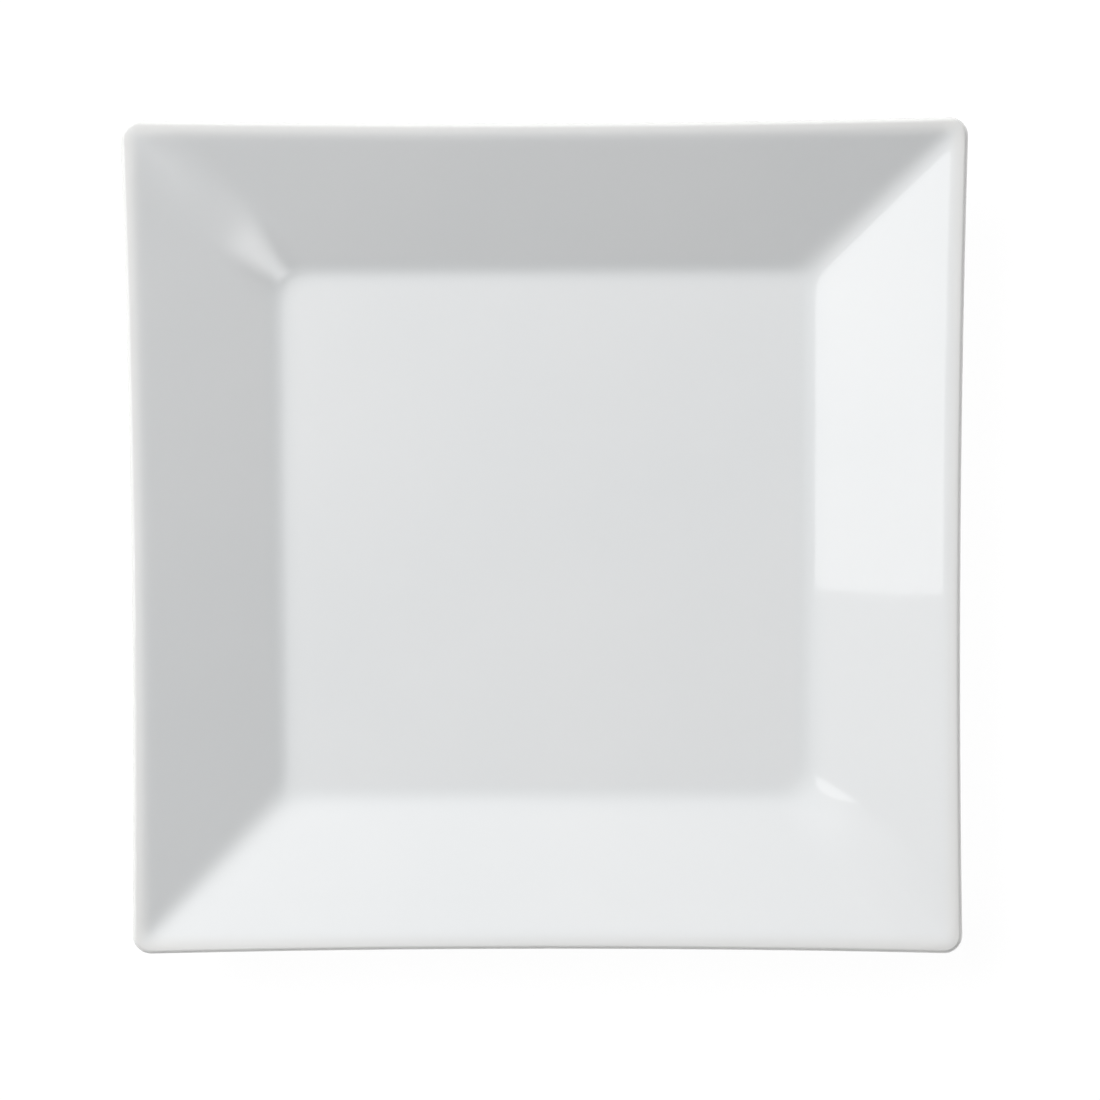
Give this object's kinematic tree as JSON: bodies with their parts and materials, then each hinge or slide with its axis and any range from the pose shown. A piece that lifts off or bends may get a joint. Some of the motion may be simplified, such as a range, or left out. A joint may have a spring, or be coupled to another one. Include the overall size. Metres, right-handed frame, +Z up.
{
  "type": "square dinner plate",
  "caption": "Square white glazed porcelain dinner plate with a flat well, sloping mitred rim panels, a rounded lip and a square foot ring.",
  "frame": {"origin": "on the table, under the middle of the plate", "axes": "+Z up, square to the table; X and Y along the plate's sides"},
  "size_m": [0.25, 0.25, 0.0232],
  "materials": {
    "bare_porcelain": "unglazed and smooth, seen only on the contact band of the foot ring",
    "white_glaze": "gloss, near neutral white"
  },
  "bodies": {
    "root": {"porcelain_body": "bare_porcelain", "glaze_coat": "white_glaze", "base_glaze": "white_glaze"}
  },
  "joints": []
}
